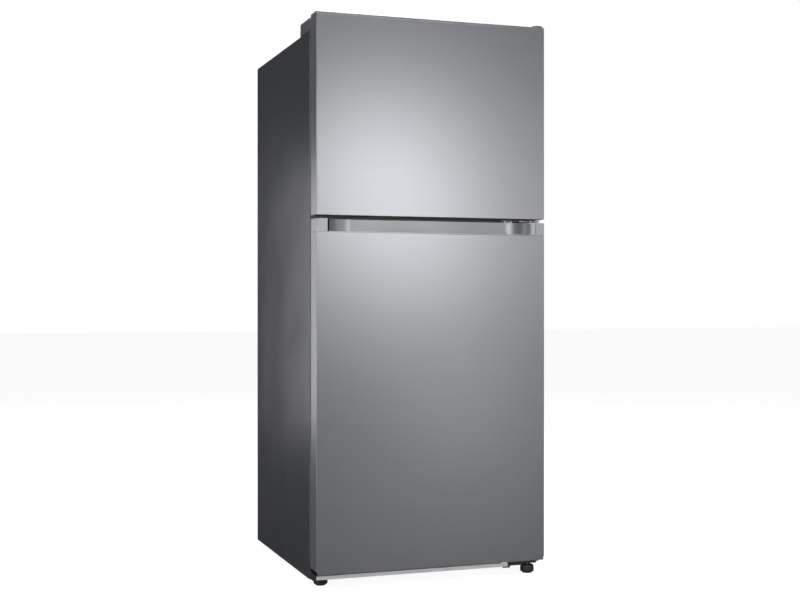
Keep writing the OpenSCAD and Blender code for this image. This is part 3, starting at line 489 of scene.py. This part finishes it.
def fridge_grip():
    """Grip along the top of the fridge door: a block with a long hollow whose ends sweep forward."""
    node = "fridge_handle_trim"
    low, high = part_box(node)
    left, right = low.x + GRIP_LEFT, high.x - GRIP_RIGHT
    floor_z, groove_z = low.z + GRIP_FLOOR_T, low.z + GROOVE_H
    bm = bmesh.new()
    plan = grip_plan(low, high, left, right, low.y + GRIP_DEPTH)
    lower = bm.faces.new([bm.verts.new((x, y, floor_z)) for x, y in plan])
    grown = bmesh.ops.extrude_face_region(bm, geom=[lower])
    lifted = [v for v in grown["geom"] if isinstance(v, bmesh.types.BMVert)]
    bmesh.ops.translate(bm, verts=lifted, vec=(0, 0, high.z - floor_z))
    for v in lifted:
        if left - NEAR < v.co.x < right + NEAR:
            v.co.y = low.y + (v.co.y - low.y) * GRIP_LEAN
    under = faces_where(bm, lambda c, f: abs(c.z - floor_z) < NEAR)
    bmesh.ops.delete(bm, geom=under, context="FACES_ONLY")
    box_into(bm, (low.x, low.y, groove_z), (high.x, high.y, floor_z))
    box_into(bm, (low.x + GROOVE_IN, low.y + GROOVE_IN, low.z), (high.x - GROOVE_IN, high.y, groove_z))
    bmesh.ops.recalc_face_normals(bm, faces=bm.faces)
    corners = edges_where(bm, lambda c, e: c.y < low.y + MM and abs(c.x) > high.x - MM
                          and rise(e) > 0.5 * MM)
    bevel(bm, corners, DOOR_CORNER_R, 8)
    # The third material, black plastic, is painted shade on the slot's walls
    piece = node_piece("fridge_grip_trim", bm, node, ["grip", "grip_end", "black_plastic"], smooth=40)
    paint_grip(piece, low, high, left, right)
    softened(piece, 0.4 * MM, angle=40)


def gasket(node, name):
    """Magnetic seal: a bellows section carried round the door with mitred corners."""
    low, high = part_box(node)
    depth = high.y - low.y
    width = 13 * MM
    # Section, as shares of the width from the outer edge inwards and of the depth from the door
    section = [
        (0.0, 0.0), (0.0, 0.14), (0.10, 0.22), (0.10, 0.34), (0.0, 0.44), (0.0, 0.58), (0.12, 0.66),
        (0.06, 0.78), (0.06, 0.96), (0.12, 1.0), (0.88, 1.0), (0.94, 0.96), (0.94, 0.78), (0.85, 0.66),
        (1.0, 0.56), (1.0, 0.44), (0.88, 0.34), (0.88, 0.22), (1.0, 0.14), (1.0, 0.0),
    ]
    bm = bmesh.new()
    rings = []
    for sx, sz in ((-1, -1), (1, -1), (1, 1), (-1, 1)):
        ring = []
        for inward, away in section:
            x = high.x - inward * width
            z = (high.z if sz > 0 else low.z) - sz * inward * width
            ring.append(bm.verts.new((sx * x, low.y + away * depth, z)))
        rings.append([bm.edges.new(pair) for pair in zip(ring, ring[1:] + ring[:1])])
    for ring, other in zip(rings, rings[1:] + rings[:1]):
        bmesh.ops.bridge_loops(bm, edges=ring + other)
    bmesh.ops.recalc_face_normals(bm, faces=bm.faces)
    node_piece(name, bm, node, smooth=50)


def door_inner(node, name):
    """Formed inner lining of a door; its outer rim carries on the steel of the door's side."""
    low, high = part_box(node)
    piece = node_piece(name, merged_copy(node), node, ["liner_white", "door_steel"])
    for face in piece.data.polygons:
        c = face.center
        at_rim = max(abs(c.x) - high.x, c.z - high.z, low.z - c.z) > -0.2 * MM
        face.material_index = 1 if at_rim and abs(face.normal.y) < 0.5 else 0
    softened(piece, 1.0 * MM)


def build_doors():
    door_skin("freezer_door_skin", "freezer_door_steel", span("freezer_door_skin", 2)[0])
    door_skin("fridge_door_skin", "fridge_door_steel", span("fridge_door_bottom_cap", 2)[0])
    fridge_grip()
    gasket("freezer_door_gasket", "freezer_door_seal")
    gasket("fridge_door_gasket", "fridge_door_seal")


# -------------------------------------------------------------------- the case

def case_sheet():
    """Side and top sheet with rounded front edges and the front flange."""
    top_fold_r, front_fold_r = 4 * MM, 2 * MM
    window_x = span("center_rail", 0)[1]
    window_top = span("freezer_liner", 2)[1]
    flange_bottom = CASE_Z[0] + 30 * MM
    bm = bmesh.new()
    box_into(bm, (CASE_X[0], CASE_Y[0], CASE_Z[0]), (CASE_X[1], CASE_Y[1], CASE_Z[1]))
    open_faces = faces_where(bm, lambda c, f: f.normal.z < -0.9 or f.normal.y > 0.9)
    bmesh.ops.delete(bm, geom=open_faces, context="FACES_ONLY")
    bevel(bm, edges_where(bm, lambda c, e: abs(c.z - CASE_Z[1]) < NEAR
                          and abs(abs(c.x) - CASE_X[1]) < NEAR), top_fold_r, 6)
    bevel(bm, edges_where(bm, lambda c, e: abs(c.y - CASE_Y[0]) < NEAR
                          and c.z > CASE_Z[0] + 0.1), front_fold_r, 3)
    for point, normal in (((window_x, 0, 0), (1, 0, 0)), ((-window_x, 0, 0), (1, 0, 0)),
                          ((0, 0, window_top), (0, 0, 1)), ((0, 0, flange_bottom), (0, 0, 1))):
        cut(bm, faces_where(bm, lambda c, f: f.normal.y < -0.99), point, normal)
    window = faces_where(bm, lambda c, f: f.normal.y < -0.99
                         and (abs(c.x) < window_x and c.z < window_top or c.z < flange_bottom))
    bmesh.ops.delete(bm, geom=window, context="FACES")
    piece = node_piece("case_sheet_steel", bm, "outer_case", ["case_paint", "flange_highlight_paint"])
    # Faces facing the front (fold and flange) get the lighter paint: a painted highlight on the case's
    # front edge
    for face in piece.data.polygons:
        face.material_index = 1 if face.normal.y < -0.5 else 0
    walled(piece, SHEET_T)


def top_cover_box():
    """Moulded cover across the front of the case top, over the upper hinge."""
    rear_lean, rim_r = 2.5 * MM, 3 * MM
    low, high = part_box("top_cover")
    bm = bmesh.new()
    box_into(bm, low, high)
    for v in bm.verts:
        if v.co.z > low.z + MM and v.co.y > (low.y + high.y) / 2:
            v.co.y -= rear_lean
    bevel(bm, edges_where(bm, lambda c, e: c.z > low.z + MM), rim_r, 5)
    node_piece("top_cover_moulding", bm, "top_cover", "cover_plastic")


def hinge_cover_shell():
    """Thin rounded cover over the upper hinge, with a deeper skirt behind the case front."""
    door_skirt_h, corner_r, rim_r, wall_t = 6.5 * MM, 12 * MM, 4 * MM, 0.8 * MM
    low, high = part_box("hinge_cover")
    skirt_z = high.z - door_skirt_h
    bm = bmesh.new()
    box_into(bm, low, high)
    bevel(bm, edges_where(bm, lambda c, e: rise(e) > MM), corner_r, 6)
    bevel(bm, edges_where(bm, lambda c, e: c.z > high.z - 0.1 * MM), rim_r, 4)
    cut(bm, list(bm.faces), (0, 0, skirt_z), (0, 0, 1))
    cut(bm, list(bm.faces), (0, CASE_Y[0], 0), (0, 1, 0))
    spare = faces_where(bm, lambda c, f: f.normal.z < -0.9 or c.z < skirt_z and c.y < CASE_Y[0])
    bmesh.ops.delete(bm, geom=spare, context="FACES")
    walled(node_piece("hinge_cover_shell", bm, "hinge_cover", "black_plastic"), wall_t)


def glass_panes():
    """Shelf panes with a green ground edge."""
    bm = merged_copy("glass_shelves")
    piece = node_piece("glass_shelf_panes", bm, "glass_shelves", ["shelf_glass", "glass_edge"])
    for face in piece.data.polygons:
        face.material_index = 0 if abs(face.normal.z) > 0.5 else 1
    softened(piece, 0.5 * MM)


def foot(node, name):
    """Levelling foot: a wide disc with a fluted rim above a narrower base."""
    flutes, flute_depth = 24, 0.5 * MM
    low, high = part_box(node)
    centre = (low + high) / 2
    rim_r = high.x - centre.x
    rim = rim_r / MM
    profile = [(0, 0), (14.2, 0), (15, 0.8), (16, 3), (rim - 0.8, 4.8), (rim, 5.8), (rim, 18.5),
               (rim - 0.8, 20.2), (rim - 2.4, 24.2), (rim - 3.4, 25), (0, 25)]
    bm = lathe(profile, 96, centre.x, centre.y)
    for v in bm.verts:
        out = Vector((v.co.x - centre.x, v.co.y - centre.y))
        if out.length > rim_r - 0.2 * MM:
            turn = out.angle_signed(Vector((1, 0)), 0)
            inward = flute_depth * (0.5 + 0.5 * cos(flutes * turn))
            out = out.normalized() * (out.length - inward)
            v.co.x, v.co.y = centre.x + out.x, centre.y + out.y
    node_piece(name, bm, node, "black_plastic")


def stem(node, name):
    """Levelling stem with ridges for its thread."""
    low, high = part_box(node)
    centre = (low + high) / 2
    crest = (high.x - low.x) / 2 / MM
    root, pitch = crest - 0.8, 1.5
    bottom, top = low.z / MM, high.z / MM
    profile = [(0, bottom), (root, bottom)]
    z = bottom + 0.4
    while z + pitch < top - 0.6:
        profile += [(root, z), (crest, z + pitch * 0.45), (crest, z + pitch * 0.55)]
        z += pitch
    profile += [(root, z), (root, top), (0, top)]
    node_piece(name, lathe(profile, 40, centre.x, centre.y), node, "screw_steel")


# ------------------------------------------------- nodes kept in their CAD shape

# Each row: material, width of its soft edges in millimetres
SOFTENED = {
    "rear_panel": ("back_panel_steel", 0.5),
    # The rail's grey is lightened as painted light for the gap between the doors
    "center_rail": ("dark_rail", 0.3),
    "base_pan": ("back_panel_steel", 0.3),
    "machine_base": ("back_panel_steel", 0.4),
    "top_hinge": ("black_metal", 0.5),
    "mid_hinge": ("hinge_grey", 0.5),
    "bottom_hinge": ("black_metal", 0.5),
    "hinge_screws": ("screw_steel", 0.4),
    "kick_plate": ("kick_silver", 0.5),
    "left_leg_bracket": ("black_metal", 0.4),
    "roller_brackets": ("back_panel_steel", 0.3),
    "compressor": ("black_metal", 1.0),
    "compressor_mounts": ("black_rubber", 0.8),
    "condenser_coil": ("black_metal", 0.0),
    "condenser_fan_housing": ("black_plastic", 0.6),
    "condenser_fan_blade": ("fan_plastic", 0.3),
    "drip_pan": ("black_plastic", 0.6),
    "machine_room_cover": ("grey_board", 0.4),
    "refrigerant_lines": ("copper_tube", 0.0),
    "evaporator": ("fin_aluminium", 0.0),
    "evaporator_cover": ("inner_plastic", 0.6),
    "evaporator_fan_motor": ("inner_plastic", 0.8),
    "evaporator_fan_blade": ("fan_plastic", 0.3),
    "air_duct_cover": ("inner_plastic", 0.7),
    "damper_flap": ("damper_plastic", 0.3),
    "shelf_trims": ("inner_plastic", 1.2),
    "crisper_cover": ("inner_plastic", 0.9),
    "crisper_left": ("crisper_clear", 1.0),
    "crisper_right": ("crisper_clear", 1.0),
    "humidity_slider_left": ("slider_plastic", 0.5),
    "humidity_slider_right": ("slider_plastic", 0.5),
    "interior_lights": ("lamp_lens", 1.5),
    "control_panel": ("inner_plastic", 1.5),
    "freezer_liner": ("liner_white", 0.8),
    "fridge_liner": ("liner_white", 0.8),
    "freezer_door_top_cap": ("cap_metal", 0.5),
    "freezer_door_bottom_cap": ("cap_dark", 0.5),
    "fridge_door_bottom_cap": ("cap_dark", 0.5),
    "freezer_door_bins": ("crisper_clear", 1.0),
    "fridge_door_bins": ("crisper_clear", 1.0),
    "roller_left": ("black_plastic", 0.8),
    "roller_right": ("black_plastic", 0.8),
}


def build_softened():
    for node, (material, width) in SOFTENED.items():
        piece = node_piece(node + "_finished", merged_copy(node), node, material)
        if width:
            softened(piece, width * MM)


def paint_hidden_cores():
    """The foam fillings keep their CAD meshes and only get a material."""
    for node in ("insulation_foam", "freezer_door_core", "fridge_door_core"):
        data = NODES[node].data
        data.materials.clear()
        data.materials.append(MATERIALS["foam"])


# ---------------------------------------------------------- floor, light, camera

FLOOR_SIZE = 60.0
FLOOR_GLOW = 1.10        # what the camera sees of the floor is mostly an even glow,
FLOOR_GLOW_SHARE = 0.86  # so that only a faint shadow is left on it
CAMERA_PLACE = (-1.3795, -4.015, 0.8414)
CAMERA_YAW = radians(19.278)
CAMERA_LENS = 58.39

# Soft lights: name, place, aimed at, width and height, watts
FRONT = (-0.165, -0.378, 1.15)
LEFT_SIDE = (-0.365, -0.25, 0.90)
LIGHTS = (
    ("key_upper", (0.97, -4.0, 1.60), FRONT, (0.5, 0.62), 12.8),
    ("key_middle", (1.27, -4.0, 1.2), FRONT, (0.5, 0.7), 8.4),
    ("key_lower", (1.55, -4.0, 0.2), FRONT, (0.5, 0.5), 2.6),
    ("low_bounce", (1.35, -4.0, -0.55), FRONT, (1.2, 0.7), 1.3),
    ("right_panel", (2.8, -2.9, 1.35), FRONT, (1.7, 1.0), 9.0),
    ("corner_glow", (-3.0, -2.6, 1.0), LEFT_SIDE, (0.8, 1.6), 40.0),
    ("side_glow", (-1.15, 1.15, 0.85), LEFT_SIDE, (0.3, 1.1), 4.8),
    ("left_soft", (-3.4, -1.0, 1.1), LEFT_SIDE, (2.4, 2.4), 20.0),
    ("rear_fill", (1.2, 4.0, 4.0), (0.0, 0.4, 0.9), (2.0, 2.0), 180.0),
    ("overhead", (0.0, -0.6, 4.2), (0.0, 0.0, 1.0), (2.5, 2.5), 330.0),
)


def floor_material():
    """Pale matt floor that keeps only a faint shadow."""
    mat = bpy.data.materials.new("floor_pale")
    mat.use_nodes = True
    tree = mat.node_tree
    shader = tree.nodes["Principled BSDF"]
    shader.inputs["Base Color"].default_value = (0.9, 0.9, 0.9, 1)
    shader.inputs["Roughness"].default_value = 0.9
    shader.inputs["Specular IOR Level"].default_value = 0.1
    glow = tree.nodes.new("ShaderNodeEmission")
    glow.inputs["Strength"].default_value = FLOOR_GLOW
    path = tree.nodes.new("ShaderNodeLightPath")
    part = tree.nodes.new("ShaderNodeMapRange")
    part.inputs["To Max"].default_value = FLOOR_GLOW_SHARE
    mix = tree.nodes.new("ShaderNodeMixShader")
    tree.links.new(path.outputs["Is Camera Ray"], part.inputs["Value"])
    tree.links.new(part.outputs["Result"], mix.inputs["Fac"])
    tree.links.new(shader.outputs["BSDF"], mix.inputs[1])
    tree.links.new(glow.outputs["Emission"], mix.inputs[2])
    tree.links.new(mix.outputs["Shader"], tree.nodes["Material Output"].inputs["Surface"])
    return mat


def studio_floor():
    """Plain floor that is not mirrored in the doors and casts no shadow itself."""
    bm = bmesh.new()
    bmesh.ops.create_grid(bm, x_segments=1, y_segments=1, size=FLOOR_SIZE / 2)
    mesh = bpy.data.meshes.new("studio_floor")
    bm.to_mesh(mesh)
    bm.free()
    floor = bpy.data.objects.new("studio_floor", mesh)
    bpy.context.scene.collection.objects.link(floor)
    mesh.materials.append(floor_material())
    floor.visible_glossy = False
    floor.visible_shadow = False


def area_light(name, place, target, size, power):
    """A rectangular soft light of that width and height, aimed at a point."""
    data = bpy.data.lights.new(name, "AREA")
    data.shape = "RECTANGLE"
    data.size, data.size_y = size
    data.energy = power
    lamp = bpy.data.objects.new(name, data)
    bpy.context.scene.collection.objects.link(lamp)
    lamp.location = place
    aim = Vector(target) - Vector(place)
    lamp.rotation_euler = aim.to_track_quat("-Z", "Y").to_euler()
    lamp.visible_camera = False


def studio_world(seen, ambient):
    """White where the camera sees it, and a dim even light for everything else."""
    world = bpy.data.worlds.new("studio_world")
    bpy.context.scene.world = world
    world.use_nodes = True
    tree = world.node_tree
    back = tree.nodes["Background"]
    back.inputs["Color"].default_value = (1, 1, 1, 1)
    path = tree.nodes.new("ShaderNodeLightPath")
    strength = tree.nodes.new("ShaderNodeMapRange")
    strength.inputs["To Min"].default_value = ambient
    strength.inputs["To Max"].default_value = seen
    tree.links.new(path.outputs["Is Camera Ray"], strength.inputs["Value"])
    tree.links.new(strength.outputs["Result"], back.inputs["Strength"])


def studio_camera():
    """Level camera a step to the left of the fridge, at the height of its middle."""
    data = bpy.data.cameras.new("studio_camera")
    data.sensor_width = 36.0
    data.lens = CAMERA_LENS
    data.clip_end = 100.0
    camera = bpy.data.objects.new("studio_camera", data)
    bpy.context.scene.collection.objects.link(camera)
    camera.location = CAMERA_PLACE
    camera.rotation_euler = (pi / 2, 0, -CAMERA_YAW)
    bpy.context.scene.camera = camera


def studio():
    studio_floor()
    studio_world(seen=1.0, ambient=0.085)
    for name, place, target, size, watts in LIGHTS:
        area_light(name, place, target, size, watts)
    display = bpy.context.scene.view_settings
    display.view_transform = "Standard"
    display.look = "None"


build_doors()
case_sheet()
top_cover_box()
hinge_cover_shell()
glass_panes()
door_inner("freezer_door_liner", "freezer_door_lining")
door_inner("fridge_door_liner", "fridge_door_lining")
foot("left_foot", "left_foot_disc")
foot("right_foot", "right_foot_disc")
stem("left_leg_stem", "left_stem_threaded")
stem("right_leg_stem", "right_stem_threaded")
build_softened()
paint_hidden_cores()
flatten_shading()
studio_camera()
studio()
